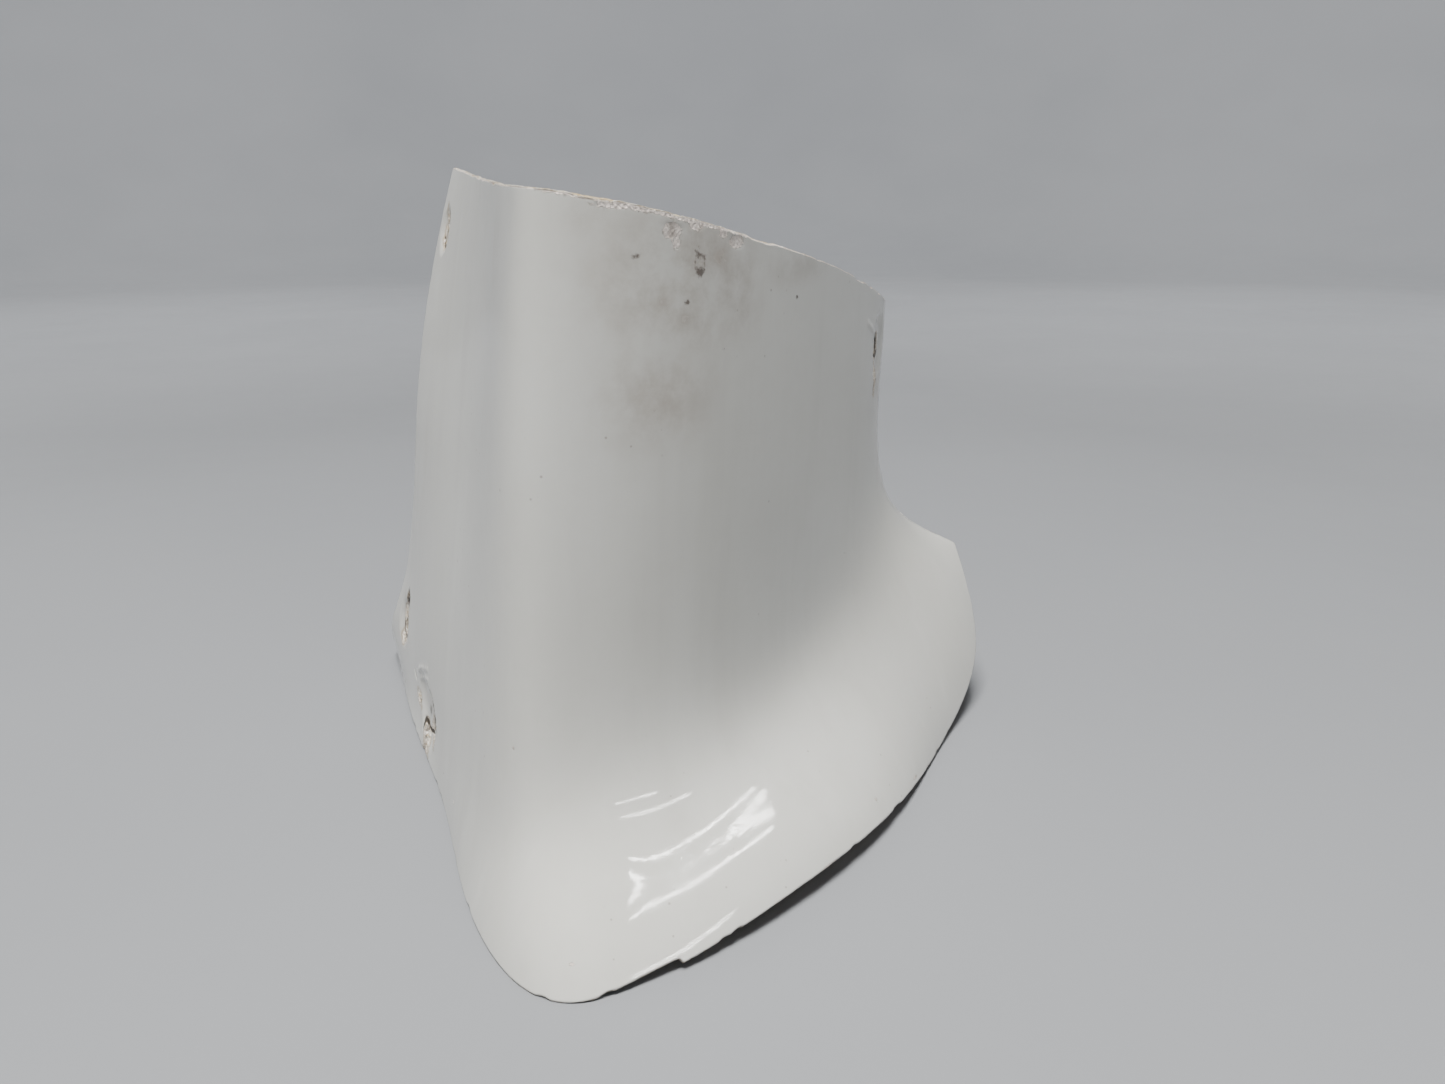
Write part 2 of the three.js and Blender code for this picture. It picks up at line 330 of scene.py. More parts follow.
def bare_field(points, edges):
    """Millimetres inside (+) or outside (-) the places where the paint has gone."""
    wander = 0.5 * noise(points, 6.0, 11) + 0.35 * noise(points, 2.4, 12)
    bare = edges["top"] + 0.5 * wander
    bare = np.maximum(bare, edges["left"] + wander)
    bare = np.maximum(bare, edges["right"] + wander)
    bare = np.maximum(bare, edges["rim"] + wander)
    for around, down, half_width, half_height in PEELED_SPOTS:
        patch = patch_field(points, around, down, half_width, half_height)
        bare = np.maximum(bare, patch + 0.6 * wander)
    return np.clip(np.maximum(bare, crushed_field(points)), -6, 6)


def crushed_field(points):
    """Millimetres inside (+) the torn laminate of the screw seats."""
    ragged = 0.9 * noise(points, 3.6, 21) + 0.5 * noise(points, 1.5, 22)
    torn = np.full(points.shape[:-1], -6.0)
    for name, seat in SEATS.items():
        x, y = seat.local(points)
        for cx, cy, half_width, half_height in TORN[name]:
            torn = np.maximum(torn, ellipse_field(x - cx, y - cy, half_width, half_height) + ragged)
    return torn


def split_and_shade_field(points):
    """1 in the crevices between cracked plies, which are sunk and get painted shade, and 0 elsewhere."""
    ragged = 0.30 * noise(points, 1.4, 25)
    split_and_shade = np.zeros(points.shape[:-1])
    for name, seat in SEATS.items():
        x, y = seat.local(points)
        for line, half_width in SPLITS_AND_SHADE[name]:
            reach = half_width + ragged - line_distance(x, y, line)
            split_and_shade = np.maximum(split_and_shade, smooth_step(-0.45, 0.25, reach))
    return split_and_shade


def crumb_field(points):
    """0 to 1: how much dark crumbled filler there is."""
    ragged = 0.8 * noise(points, 3.0, 35)
    crumb = np.zeros(points.shape[:-1])
    for name, seat in SEATS.items():
        x, y = seat.local(points)
        for cx, cy, half_width, half_height in CRUMBS[name]:
            reach = ellipse_field(x - cx, y - cy, half_width, half_height) + ragged
            crumb = np.maximum(crumb, smooth_step(-0.3, 1.4, reach))
    return crumb


def grime_field(points):
    """0 clean to 1 dark, for the stains and the dirt that lodges round the seats."""
    grime = np.zeros(points.shape[:-1])
    for around, down, half_width, half_height, strength in STAINS:
        reach = patch_field(points, around, down, half_width, half_height)
        reach = reach / min(half_width, half_height)
        grime = np.maximum(grime, strength * smooth_step(-0.35, 0.9, reach))
    return grime


def mark_field(points):
    """Millimetres inside (+) the small dark marks, broken up so that none is a plain dot."""
    ragged = 0.5 * noise(points, 1.6, 27) + 0.25 * noise(points, 0.7, 28)
    mark = np.full(points.shape[:-1], -6.0)
    for around, down, half_width, half_height, strength in MARKS:
        reach = patch_field(points, around, down, half_width, half_height) + ragged - 0.3 * (1 - strength)
        mark = np.maximum(mark, reach)
    *ring_patch, line_half_width = RING
    line = line_half_width - np.abs(patch_field(points, *ring_patch))
    return np.maximum(mark, line + 1.2 * ragged)


def seat_relief(points):
    """How deep the wall is sunk at the screw seats, in mm: dimples, torn plies, splits and lips."""
    depth = np.zeros(points.shape[:-1])
    for name, seat in SEATS.items():
        x, y = seat.local(points)
        r = np.hypot(x / seat.stretch, y * 0.85)
        depth += seat.depth * smooth_step(1.0, 0.45, r / seat.radius)
        for line, half_width, height in LIPS[name]:
            away = line_distance(x, y, line) + 0.5 * noise(points, 2.6, 36)
            broken = 0.65 + 0.5 * noise(points, 5.0, 37)
            depth -= height * broken * np.exp(-(away / half_width) ** 2)
    torn = smooth_step(-0.2, 0.9, crushed_field(points))
    depth += torn * (0.15 + 0.45 * noise(points, 2.2, 31) + 0.25 * noise(points, 1.0, 32))
    depth += crumb_field(points) * (0.25 + 0.35 * noise(points, 1.2, 33))
    return np.minimum(depth + 0.55 * split_and_shade_field(points), DEEPEST)


# ---------------------------------------------------------------- mesh building

def spread(count, low, high, length, crowds):
    """count values from low to high, even along the real length, closer together at the crowds."""
    fine = np.linspace(low, high, 4001)
    middle = (fine[1:] + fine[:-1]) / 2
    density = np.maximum(length(middle), 1e-6)
    for centre, reach, extra in crowds:
        density = density * (1 + extra * np.exp(-((middle - centre) / reach) ** 2))
    total = np.concatenate([[0], np.cumsum(density)])
    return np.interp(np.linspace(0, total[-1], count), total, fine)


def add_mesh(name, points, faces, materials, face_material=None, fields=None, sharp=50):
    """A mesh object from loft-frame millimetres, smooth except at edges sharper than sharp."""
    mesh = bpy.data.meshes.new(name)
    vertices = (np.asarray(points).reshape(-1, 3) + SHIFT) * MM
    faces = np.asarray(faces, np.int32)
    mesh.vertices.add(len(vertices))
    mesh.vertices.foreach_set("co", vertices.astype(np.float32).ravel())
    mesh.loops.add(faces.size)
    mesh.loops.foreach_set("vertex_index", faces.ravel())
    mesh.polygons.add(len(faces))
    mesh.polygons.foreach_set("loop_start", np.arange(0, faces.size, faces.shape[1], dtype=np.int32))
    for material in materials:
        mesh.materials.append(material)
    if face_material is not None:
        mesh.polygons.foreach_set("material_index", np.asarray(face_material, np.int32))
    for field, values in (fields or {}).items():
        attribute = mesh.attributes.new(field, "FLOAT", "POINT")
        attribute.data.foreach_set("value", np.asarray(values, np.float32).ravel())
    mesh.update(calc_edges=True)
    mesh.validate()
    mesh.shade_smooth()
    mesh.set_sharp_from_angle(angle=math.radians(sharp))
    piece = bpy.data.objects.new(name, mesh)
    bpy.context.scene.collection.objects.link(piece)
    return piece


def grid_faces(columns, rows, start, flip):
    """Quads of a grid whose vertex (i, j) is start + i * rows + j."""
    i, j = np.meshgrid(np.arange(columns - 1), np.arange(rows - 1), indexing="ij")
    a = start + i * rows + j
    quads = np.stack([a, a + 1, a + rows + 1, a + rows], -1).reshape(-1, 4)
    return quads[:, ::-1] if flip else quads


def perimeter(columns, rows):
    """(i, j) of a grid's border in order: down the first column, along, up, and back."""
    left = [(0, j) for j in range(rows - 1)]
    bottom = [(i, rows - 1) for i in range(columns - 1)]
    right = [(columns - 1, j) for j in range(rows - 1, 0, -1)]
    top = [(i, 0) for i in range(columns - 1, 0, -1)]
    return np.array(left + bottom + right + top)


def closed_sheet(outer, inner, rim_rings):
    """Vertices, faces and face kinds (0 outer, 1 edge, 2 inner) of a sheet with rounded edges.
    outer and inner are grids of points; rim_rings are the points between their borders."""
    columns, rows = outer.shape[:2]
    border = perimeter(columns, rows)
    border_index = border[:, 0] * rows + border[:, 1]
    count = columns * rows
    points = np.concatenate([outer.reshape(-1, 3), inner.reshape(-1, 3), rim_rings.reshape(-1, 3)])
    rings = [border_index]
    for k in range(len(rim_rings)):
        rings.append(2 * count + k * len(border) + np.arange(len(border)))
    rings.append(border_index + count)
    faces = [grid_faces(columns, rows, 0, False), grid_faces(columns, rows, count, True)]
    kinds = [np.zeros(len(faces[0])), np.full(len(faces[1]), 2)]
    for near, far in zip(rings[:-1], rings[1:]):
        faces.append(np.stack([near, far, np.roll(far, -1), np.roll(near, -1)], -1))
        kinds.append(np.ones(len(near)))
    return points, np.concatenate(faces), np.concatenate(kinds)


def cut_holes(piece, seats):
    """Cuts the screw holes square through a piece."""
    verts, faces, sides = [], [], 40
    angle = np.linspace(0, 2 * math.pi, sides, endpoint=False)
    for seat in seats:
        first = sum(len(v) for v in verts)
        circle = np.cos(angle)[:, None] * seat.x + np.sin(angle)[:, None] * seat.y
        for reach in (-8, 8):
            verts.append(seat.centre + HOLE_RADIUS * circle + reach * seat.out)
        low = first + np.arange(sides)
        high = low + sides
        faces += [tuple(q) for q in np.stack([low, np.roll(low, -1), np.roll(high, -1), high], -1).tolist()]
        faces += [tuple(low[::-1].tolist()), tuple(high.tolist())]
    mesh = bpy.data.meshes.new("hole_cutter")
    mesh.from_pydata(((np.concatenate(verts) + SHIFT) * MM).tolist(), [], faces)
    mesh.materials.append(piece.data.materials[-1])
    cutter = bpy.data.objects.new("hole_cutter", mesh)
    bpy.context.scene.collection.objects.link(cutter)
    change = piece.modifiers.new("holes", "BOOLEAN")
    change.operation = "DIFFERENCE"
    change.solver = "MANIFOLD"
    change.object = cutter
    evaluated = piece.evaluated_get(bpy.context.evaluated_depsgraph_get())
    mesh_with_holes = bpy.data.meshes.new_from_object(evaluated)
    piece.modifiers.clear()
    piece.data = mesh_with_holes
    bpy.data.objects.remove(cutter)


# ---------------------------------------------------------------- node materials

class Shader:
    """A material made of nodes, with one Principled shader."""

    def __init__(self, name):
        self.material = bpy.data.materials.new(name)
        self.material.use_nodes = True
        self.nodes = self.material.node_tree.nodes
        self.links = self.material.node_tree.links
        self.surface = self.nodes["Principled BSDF"]
        self.where = self.nodes.new("ShaderNodeNewGeometry").outputs["Position"]

    def put(self, socket, value):
        if isinstance(value, bpy.types.NodeSocket):
            self.links.new(value, socket)
        elif value is not None:
            socket.default_value = value

    def field(self, name):
        node = self.nodes.new("ShaderNodeAttribute")
        node.attribute_name = name
        return node.outputs["Fac"]

    def math(self, operation, a, b=0.0, c=None):
        node = self.nodes.new("ShaderNodeMath")
        node.operation = operation
        self.put(node.inputs[0], a)
        self.put(node.inputs[1], b)
        if c is not None:
            self.put(node.inputs[2], c)
        return node.outputs[0]

    def ramp(self, value, low, high, to_low=0.0, to_high=1.0):
        node = self.nodes.new("ShaderNodeMapRange")
        node.interpolation_type = "SMOOTHSTEP"
        for index, item in enumerate((value, low, high, to_low, to_high)):
            self.put(node.inputs[index], item)
        return node.outputs[0]

    def stretched(self, x, y, z):
        node = self.nodes.new("ShaderNodeMapping")
        self.put(node.inputs["Vector"], self.where)
        node.inputs["Scale"].default_value = (x, y, z)
        return node.outputs[0]

    def noise(self, per_metre, detail=3.0, roughness=0.5, vector=None, distortion=0.0):
        node = self.nodes.new("ShaderNodeTexNoise")
        self.put(node.inputs["Vector"], vector or self.where)
        self.put(node.inputs["Scale"], per_metre)
        self.put(node.inputs["Detail"], detail)
        self.put(node.inputs["Roughness"], roughness)
        self.put(node.inputs["Distortion"], distortion)
        return node.outputs["Fac"]

    def cells(self, per_metre, vector=None, feature="F1"):
        node = self.nodes.new("ShaderNodeTexVoronoi")
        node.feature = feature
        self.put(node.inputs["Vector"], vector or self.where)
        self.put(node.inputs["Scale"], per_metre)
        return node.outputs["Distance"]

    def mix(self, share, a, b, blend="MIX"):
        node = self.nodes.new("ShaderNodeMix")
        node.data_type = "RGBA"
        node.blend_type = blend
        self.put(node.inputs["Factor"], share)
        for socket, value in ((node.inputs["A"], a), (node.inputs["B"], b)):
            self.put(socket, value if isinstance(value, bpy.types.NodeSocket) else (*value, 1))
        return node.outputs["Result"]

    def bump(self, height, distance, strength=1.0, under=None):
        node = self.nodes.new("ShaderNodeBump")
        node.inputs["Strength"].default_value = strength
        node.inputs["Distance"].default_value = distance
        self.put(node.inputs["Height"], height)
        self.put(node.inputs["Normal"], under)
        return node.outputs["Normal"]

    def finish(self, colour, roughness, normal, **fixed):
        self.put(self.surface.inputs["Base Color"], colour)
        self.put(self.surface.inputs["Roughness"], roughness)
        self.put(self.surface.inputs["Normal"], normal)
        for name, value in fixed.items():
            self.surface.inputs[name.replace("_", " ")].default_value = value
        return self.material


def laminate_colour(shader):
    """Tan resin with pale glass strands; returns its colour and its height."""
    along = shader.field("cloth_x")
    across = shader.field("cloth_y")
    turn = 2 * math.pi / CLOTH_PITCH
    wobble = shader.math("MULTIPLY", shader.noise(220, 2), 1.6)
    warp = shader.math("SINE", shader.math("MULTIPLY", shader.math("ADD", along, wobble), turn))
    weft = shader.math("SINE", shader.math("MULTIPLY", shader.math("ADD", across, wobble), turn))
    weave = shader.math("MULTIPLY", warp, weft)
    weave = shader.ramp(weave, -0.8, 0.8)
    strands = shader.ramp(shader.noise(900, 4, 0.65, distortion=1.5), 0.35, 0.7)
    tone = shader.math("ADD", shader.math("MULTIPLY", weave, 0.6), shader.math("MULTIPLY", strands, 0.4))
    blotch = shader.ramp(shader.noise(38, 4), 0.3, 0.7)
    tan = shader.mix(blotch, (0.30, 0.205, 0.10), (0.42, 0.31, 0.17))
    pale = shader.mix(blotch, (0.56, 0.45, 0.28), (0.66, 0.57, 0.40))
    return shader.mix(tone, tan, pale), tone


def painted_material():
    """Gloss warm grey paint, worn through to cream filler and tan laminate where bare says so."""
    s = Shader("painted_laminate")
    bare = s.field("bare")
    grime = s.field("grime")
    ragged = s.math("MULTIPLY", s.math("SUBTRACT", s.noise(1300, 4, 0.6), 0.5), 1.5)
    inside = s.math("ADD", bare, ragged)
    gone = s.ramp(inside, -0.05, 0.10)
    core = s.ramp(s.math("ADD", inside, s.math("MULTIPLY", s.noise(420, 3), 1.2)), 2.2, 3.2)

    # the paint: mottled, with faint streaks down the wall, haze, specks, stains and dark marks
    mottle = s.noise(14, 4, 0.6)
    paint = s.mix(s.ramp(mottle, 0.3, 0.7), (0.545, 0.540, 0.500), (0.590, 0.588, 0.552))
    streak = s.ramp(s.noise(70, 4, 0.6, vector=s.stretched(1, 1, 0.06)), 0.52, 0.80)
    paint = s.mix(s.math("MULTIPLY", streak, 0.25), paint, (0.70, 0.695, 0.66))
    dull = s.ramp(s.noise(48, 4, 0.6, vector=s.stretched(1, 1, 0.09)), 0.50, 0.82)
    paint = s.mix(s.math("MULTIPLY", dull, 0.25), paint, (0.42, 0.405, 0.37))
    haze = s.ramp(s.noise(55, 5, 0.7), 0.45, 0.8)
    paint = s.mix(s.math("MULTIPLY", haze, 0.14), paint, (0.43, 0.41, 0.37))
    specks = s.ramp(s.cells(210), 0.10, 0.05)
    specks = s.math("MULTIPLY", specks, s.ramp(s.noise(32, 2), 0.55, 0.66))
    paint = s.mix(s.math("MULTIPLY", specks, 0.55), paint, (0.20, 0.17, 0.14))
    film = s.math("MULTIPLY", grime, s.ramp(s.noise(90, 5, 0.65), 0.25, 0.75))
    paint = s.mix(film, paint, (0.270, 0.205, 0.155))
    fine_grit = s.math("MULTIPLY", s.noise(2600, 2), 0.6)
    dark = s.ramp(s.math("ADD", s.field("mark"), fine_grit), 0.15, 0.75)
    paint = s.mix(s.math("MULTIPLY", dark, 0.85), paint, (0.075, 0.052, 0.040))
    chip_line = s.ramp(inside, -0.25, -0.02)
    paint = s.mix(s.math("MULTIPLY", chip_line, 0.22), paint, (0.30, 0.26, 0.21))

    torn_rim = s.ramp(s.math("ADD", s.field("crushed"), ragged), -1.1, -0.1)
    paint = s.mix(s.math("MULTIPLY", torn_rim, 0.65), paint, (0.36, 0.27, 0.15))

    # what the paint leaves bare: filler, woven laminate, or crushed white fibre at the seats
    laminate, tone = laminate_colour(s)
    filler = s.mix(s.noise(240, 4, 0.6), (0.70, 0.60, 0.54), (0.84, 0.78, 0.72))
    bared = s.mix(core, filler, laminate)
    fluff = s.noise(620, 5, 0.7, distortion=0.8)
    white = s.mix(s.ramp(fluff, 0.35, 0.65), (0.44, 0.34, 0.20), (0.93, 0.91, 0.86))
    bared = s.mix(s.ramp(s.field("crushed"), -0.1, 0.5), bared, white)
    dirt = s.ramp(s.noise(230, 5, 0.65), 0.50, 0.72)
    in_seat = s.ramp(s.field("crushed"), -0.1, 0.5, 0.50, 0.85)
    bared = s.mix(s.math("MULTIPLY", dirt, in_seat), bared, (0.125, 0.09, 0.060))
    colour = s.mix(gone, paint, bared)
    crumb = s.field("crumb")
    grains = s.math("ADD", s.noise(1150, 4, 0.7), s.math("MULTIPLY", crumb, 0.28))
    grains = s.math("MULTIPLY", s.ramp(grains, 0.61, 0.73), s.ramp(crumb, 0.05, 0.45))
    colour = s.mix(s.math("MULTIPLY", grains, 0.80), colour, (0.085, 0.066, 0.050))
    # near-black painted shade in the crevices between cracked plies
    split_and_shade = s.ramp(s.math("ADD", s.field("split_and_shade"), s.math("MULTIPLY", s.noise(1500, 3), 0.5)), 0.55, 0.85)
    colour = s.mix(s.math("MULTIPLY", split_and_shade, 0.93), colour, (0.030, 0.022, 0.016))

    gloss = s.ramp(s.noise(60, 4, 0.6), 0.3, 0.75, 0.04, 0.08)
    gloss = s.math("ADD", gloss, s.math("MULTIPLY", film, 0.45))
    rough_parts = s.math("MAXIMUM", gone, s.math("MAXIMUM", split_and_shade, grains))
    roughness = s.math("ADD", s.math("MULTIPLY", rough_parts, 0.6), gloss)

    peel = s.bump(s.noise(420, 2), 0.00004, 0.30)
    scratch = s.ramp(s.noise(1500, 2, 0.5, vector=s.stretched(1, 1, 0.05)), 0.62, 0.72)
    peel = s.bump(s.math("MULTIPLY", scratch, haze), 0.00003, 0.4, peel)
    step = s.bump(gone, -0.00018, 1.0, peel)
    fluffy = s.bump(s.math("MULTIPLY", fluff, gone), 0.0006, 1.0, step)
    fibres = s.bump(s.math("MULTIPLY", tone, gone), 0.00025, 1.0, fluffy)
    return s.finish(colour, roughness, fibres, Specular_IOR_Level=0.6)


def raw_material(name, gloss):
    """Bare laminate: woven glass in tan resin, some of it shiny where the resin pooled."""
    s = Shader(name)
    laminate, tone = laminate_colour(s)
    pooled = s.ramp(s.noise(46, 4, 0.6), 0.46, 0.62)
    colour = s.mix(s.math("MULTIPLY", pooled, 0.35), laminate, (0.27, 0.18, 0.085))
    dust = s.ramp(s.noise(24, 5, 0.65), 0.5, 0.75)
    colour = s.mix(s.math("MULTIPLY", dust, 0.35), colour, (0.56, 0.53, 0.47))
    bubbles = s.ramp(s.cells(330), 0.16, 0.06)
    bubbles = s.math("MULTIPLY", bubbles, s.ramp(s.noise(60, 2), 0.5, 0.62))
    colour = s.mix(s.math("MULTIPLY", bubbles, 0.5), colour, (0.70, 0.64, 0.52))
    roughness = s.math("SUBTRACT", gloss, s.math("MULTIPLY", pooled, 0.26))
    lumps = s.bump(s.noise(130, 3), 0.0006, 0.5)
    weave = s.bump(tone, 0.00030, 0.8, lumps)
    return s.finish(colour, roughness, weave)


def floor_material():
    s = Shader("studio_floor")
    tone = s.ramp(s.noise(1.1, 3), 0.3, 0.7)
    colour = s.mix(tone, (0.225, 0.232, 0.245), (0.245, 0.252, 0.265))
    fine = s.bump(s.noise(240, 3), 0.0002, 0.25)
    return s.finish(colour, s.ramp(s.noise(7, 3), 0.3, 0.7, 0.55, 0.7), fine)


# ---------------------------------------------------------------- the pieces

def edge_distances(around, down, points, slope_around, slope_down):
    """Millimetres from each of the four edges, as bare fields: the rag's reach less the distance."""
    mm_around = np.linalg.norm(slope_around, axis=-1)
    mm_down = np.linalg.norm(slope_down, axis=-1)
    nose = np.exp(-((around - 4.9) / 1.0) ** 2)
    return {
        "top": 0.55 + 0.9 * nose - np.abs(points[..., 2] - outer_point(around, 0 * down)[..., 2]),
        "left": 0.55 - around * mm_around,
        "right": 0.55 - (LAST - around) * mm_around,
        "rim": 0.15 - (1 - down) * mm_down,
    }


def ragged_grid(columns, rows):
    """(around, down) over the whole wall, pulled in at the worn edges."""
    crowd_around = [(seat.around, 0.28, 1.6) for seat in SEATS.values()]
    crowd_down = [(0.0, 0.02, 5.0), (1.0, 0.03, 1.5), (0.66, 0.07, 1.2), (0.80, 0.07, 1.2), (0.06, 0.03, 2)]

    def length_around(a):
        return np.linalg.norm(surface(a, 0.45 + 0 * a)[2], axis=-1)

    def length_down(d):
        return np.mean([np.linalg.norm(surface(a + 0 * d, d)[3], axis=-1) for a in (1.0, 4.0, 8.0)], axis=0)

    a = spread(columns, 0, LAST, length_around, crowd_around)
    d = spread(rows, 0, 1, length_down, crowd_down)
    around, down = np.meshgrid(a, d, indexing="ij")
    _, _, slope_around, slope_down = surface(around, down)
    mm_around = np.linalg.norm(slope_around, axis=-1)
    mm_down = np.linalg.norm(slope_down, axis=-1)

    top = surface(a, 0 * a)[0]
    rim = surface(a, 0 * a + 1)[0]
    chips = EDGE_ROUND + 0.22 * (1 + rough(top, 9.0, 41))
    chips += 0.5 * smooth_step(0.35, 0.8, noise(top, 5.0, 42))
    rim_chips = EDGE_ROUND + 0.18 * (1 + rough(rim, 12.0, 43))
    rim_chips += 0.5 * smooth_step(0.45, 0.8, noise(rim, 4.0, 44))
    rim_chips += rim_notch(a)
    fade = np.exp(-down * mm_down / CHIP_FADE)
    down = down + (chips[:, None] / mm_down) * fade
    fade = np.exp(-(1 - d[None, :]) * mm_down / CHIP_FADE)
    down = down - (rim_chips[:, None] / mm_down) * fade

    left = surface(0 * d, d)[0]
    right = surface(0 * d + LAST, d)[0]
    left_chips = EDGE_ROUND + 0.3 * (1 + rough(left, 8.0, 45))
    left_chips += 0.7 * smooth_step(0.3, 0.8, noise(left, 5.0, 46))
    right_chips = EDGE_ROUND + 0.15 * (1 + rough(right, 9.0, 47))
    left_fade = np.exp(-a[:, None] * mm_around / CHIP_FADE)
    right_fade = np.exp(-(LAST - a[:, None]) * mm_around / CHIP_FADE)
    around = around + (left_chips[None, :] / mm_around) * left_fade
    around = around - (right_chips[None, :] / mm_around) * right_fade
    return around, down


def rim_notch(around):
    """The toe's side of the rim has worn about 2 mm shorter, with a step at its right end."""
    step = smooth_step(5.25, 5.20, around)
    return 1.9 * step * smooth_step(4.35, 5.0, around)


def fairing_shell(paint, inside):
    columns, rows, rings = (500, 330, 5)
    around, down = ragged_grid(columns, rows)
    points, normal, slope_around, slope_down = surface(around, down)
    waves = 0.05 * noise(points, 42.0, 1) + 0.010 * noise(points, 19.0, 2) + 0.003 * noise(points, 8.0, 3)
    lay = 0.16 * noise(points, 11.0, 5) + 0.10 * rough(points, 3.5, 6) - INSIDE_SHORT
    edges = edge_distances(around, down, points, slope_around, slope_down)
    bare = bare_field(points, edges)
    sunk = seat_relief(points)
    torn = 0.10 * rough(points, 1.6, 7) * smooth_step(0, 0.8, bare)
    outer = points + normal * (waves - sunk + torn - 0.15 * smooth_step(-0.2, 0.5, bare))[..., None]
    thick = WALL + lay - waves * 0.5
    inner = points - normal * thick[..., None]
    outer[..., 2] = np.maximum(outer[..., 2], 0)
    inner[..., 2] = np.maximum(inner[..., 2], 0.02)

    border = perimeter(columns, rows)
    i, j = border[:, 0], border[:, 1]
    away = np.zeros((len(border), 3))
    away -= unit(slope_down[i, j]) * (j == 0)[:, None]
    away += unit(slope_down[i, j]) * (j == rows - 1)[:, None]
    away -= unit(slope_around[i, j]) * (i == 0)[:, None]
    away += unit(slope_around[i, j]) * (i == columns - 1)[:, None]
    away = unit(away)
    ring_points = []
    for k in range(1, rings + 1):
        share = k / (rings + 1)
        at = outer[i, j] * (1 - share) + inner[i, j] * share
        bulge = EDGE_ROUND * math.sqrt(1 - (2 * share - 1) ** 2)
        grit = 0.16 * rough(at, 1.4, 60)
        at = at + away * (bulge + grit)[:, None]
        at[:, 2] = np.maximum(at[:, 2], 0)
        ring_points.append(at)
    vertices, faces, kinds = closed_sheet(outer, inner, np.array(ring_points))

    edge_bare = np.where(j == rows - 1, 0.25, 3.0)
    ring_bare = np.tile(edge_bare, rings)
    edge_crushed = np.where(j == 0, 2.0, 0.8)
    grime = grime_field(points)
    on_ring = np.tile(np.arange(len(border)), rings)
    def whole(grid, ring):
        return np.concatenate([grid.ravel(), grid.ravel(), ring])
    fields = {
        "bare": whole(bare, ring_bare),
        "crushed": whole(crushed_field(points), np.tile(edge_crushed, rings)),
        # the cracks between plies: sunk in the wall above, and painted dark as shade in the paint
        "split_and_shade": whole(split_and_shade_field(points), np.zeros(rings * len(border))),
        "mark": whole(mark_field(points), np.full(rings * len(border), -6.0)),
        "grime": whole(grime, grime[i, j][on_ring]),
        "crumb": whole(crumb_field(points), np.zeros(rings * len(border))),
        "cloth_x": whole(
            0.8 * (points[..., 0] + points[..., 1]),
            np.tile(points[i, j, 0] + points[i, j, 1], rings),
        ),
        "cloth_y": whole(points[..., 2], np.concatenate([points[i, j, 2] + 3 * k for k in range(rings)])),
    }
    material_of = np.where(kinds == 2, 1, 0)
    piece = add_mesh("shell_laminate", vertices, faces, [paint, inside], material_of, fields)
    cut_holes(piece, SEATS.values())
    return piece


def neck_band(raw):
    """The extra laminate behind the nose of the neck's edge, with a torn lower edge."""
    columns, rows, rings = 220, 44, 3
    s = np.linspace(3.2, 6.3, columns)
    t = np.linspace(0, 1, rows)
    around, share = np.meshgrid(s, t, indexing="ij")
    flat = np.stack([around * 30, share * 0, share * 0], -1)
    top = 0.0012 + 0.0006 * rough(flat, 6.0, 71)
    bottom = 0.048 + 0.0035 * rough(flat, 7.0, 72)
    down = top + (bottom - top) * share
    points, normal, slope_around, slope_down = surface(around, down)
    near = WALL + 0.12 + 0.05 * noise(points, 5.0, 73)
    taper = smooth_step(0, 0.12, 1 - share) * smooth_step(0, 0.05, (around - 3.2) / 3.1)
    taper = taper * smooth_step(0, 0.05, (6.3 - around) / 3.1)
    far = near + 0.25 + (BAND - 0.25) * taper + 0.14 * rough(points, 3.0, 74)
    outer = points - normal * near[..., None]
    inner = points - normal * far[..., None]
    border = perimeter(columns, rows)
    i, j = border[:, 0], border[:, 1]
    up = -unit(slope_down[i, j]) * (j == 0)[:, None]
    ring_points = []
    for k in range(1, rings + 1):
        w = k / (rings + 1)
        at = outer[i, j] * (1 - w) + inner[i, j] * w
        bulge = 0.35 * math.sqrt(1 - (2 * w - 1) ** 2)
        grit = 0.1 * rough(at, 1.5, 75)
        ring_points.append(at + up * (bulge + grit)[:, None])
    vertices, faces, kinds = closed_sheet(outer, inner, np.array(ring_points))
    fields = {"cloth_x": vertices[:, 0] + vertices[:, 1], "cloth_y": vertices[:, 2]}
    return add_mesh("neck_edge_laminate", vertices, faces, [raw], None, fields)


